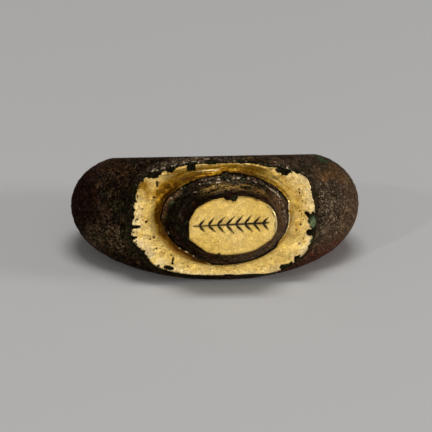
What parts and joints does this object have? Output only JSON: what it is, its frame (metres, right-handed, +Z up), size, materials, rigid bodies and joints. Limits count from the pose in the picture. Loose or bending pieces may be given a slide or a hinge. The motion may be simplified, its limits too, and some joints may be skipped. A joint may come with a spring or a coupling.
{
  "type": "bronze finger ring with gilded bezel",
  "caption": "Massive cast bronze finger ring with a wide gilded flange round a tall flared boss, whose flat oval top is gilded too.",
  "frame": {"origin": "on the floor under the middle of the ring's bounding box, the ring lying on its lower flat side", "axes": "+X across the shoulders, -Y towards the bezel, +Z up; the finger hole runs close to Z, leaning 9.6 degrees towards +Y because the flat sides taper to the back"},
  "size_m": [0.03, 0.0276, 0.0129],
  "materials": {
    "bronze": "old cast bronze, dark brown, pitted and patinated",
    "gold": "satin gilding, worn and chipped at its edges"
  },
  "bodies": {
    "root": {"ring_body": "bronze", "flange_gilding": "gold", "table_gilding": "gold"}
  },
  "joints": []
}
